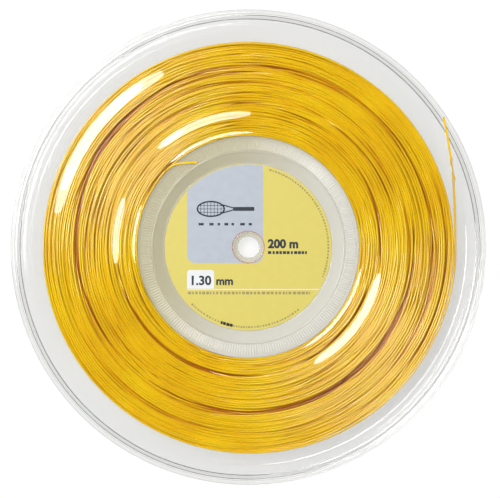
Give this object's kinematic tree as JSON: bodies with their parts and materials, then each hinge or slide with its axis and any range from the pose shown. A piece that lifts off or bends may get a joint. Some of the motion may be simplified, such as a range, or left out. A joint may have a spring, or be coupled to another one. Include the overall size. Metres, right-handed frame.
{
  "type": "string reel",
  "caption": "Clear two-part spool lying flat, wound with yellow racket string, with a round label in its hub recess and the string's ends tucked through its front flange.",
  "frame": {"origin": "centre of the rear rim's resting plane, on the spindle axis", "axes": "+Z along the spindle axis, out of the front face. +Y is the top of the front label, and +X is the reader's right"},
  "size_m": [0.266, 0.266, 0.0203],
  "materials": {
    "clear_plastic": "clear, polished",
    "label": "satin coated paper, pale yellow with a grey-blue panel",
    "string": "glossy, slightly translucent monofilament"
  },
  "bodies": {
    "root": {"front_spool_half": "clear_plastic", "rear_spool_half": "clear_plastic", "front_label": "label", "rear_label": "label", "string_winding": "string", "outer_string_end": "string", "inner_string_end": "string"}
  },
  "joints": []
}
